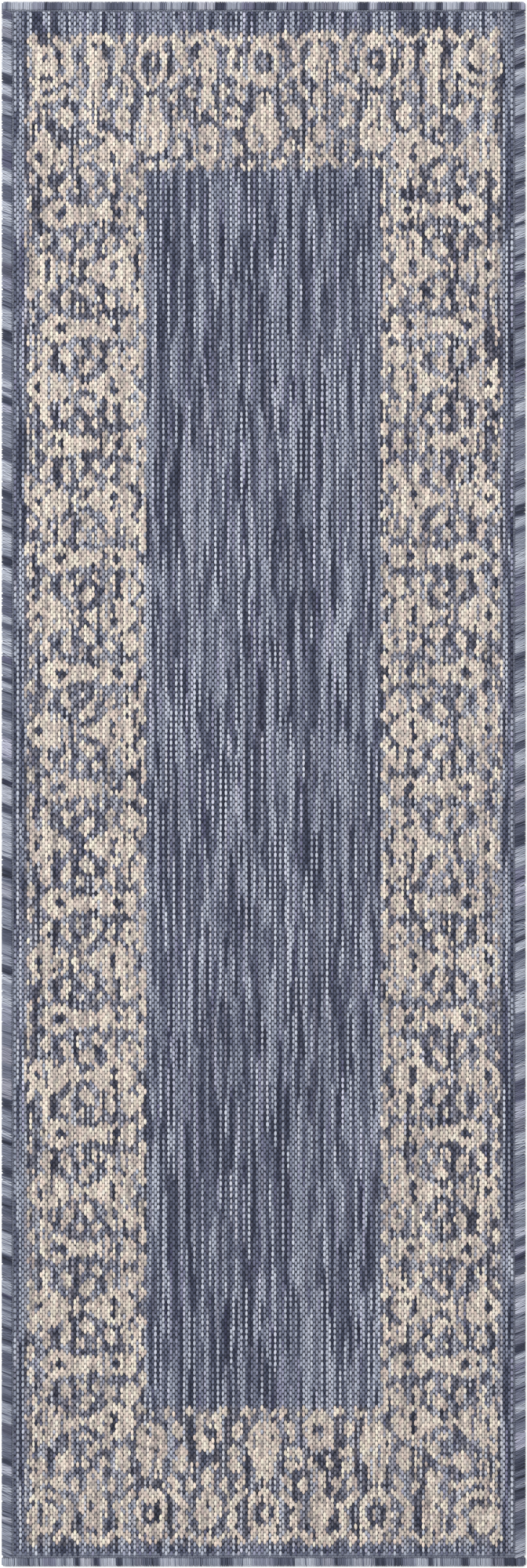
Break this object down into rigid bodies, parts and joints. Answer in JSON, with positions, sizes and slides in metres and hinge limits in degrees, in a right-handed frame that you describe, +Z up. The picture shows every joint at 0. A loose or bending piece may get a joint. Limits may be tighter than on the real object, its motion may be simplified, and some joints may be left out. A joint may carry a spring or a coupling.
{
  "type": "runner rug",
  "caption": "Long narrow flat-woven rug with an overcast yarn edge on all four sides, laid loose on a floor.",
  "frame": {"origin": "middle of the underside, on the floor", "axes": "+Z up off the floor, +Y along the rug's length towards the head end, +X across its width"},
  "size_m": [0.61, 1.822, 0.0047],
  "materials": {
    "woven_yarn": "matte flat weave of blue and cream yarn",
    "serging_yarn": "soft sheen, space-dyed blue yarn",
    "sewing_thread": "dark twisted sewing thread"
  },
  "bodies": {
    "root": {"woven_ground": "woven_yarn", "side_serging_left": "serging_yarn", "side_serging_right": "serging_yarn", "end_serging_head": "serging_yarn", "end_serging_foot": "serging_yarn", "seam_thread_left": "sewing_thread", "seam_thread_right": "sewing_thread", "seam_thread_head": "sewing_thread", "seam_thread_foot": "sewing_thread"}
  },
  "joints": []
}
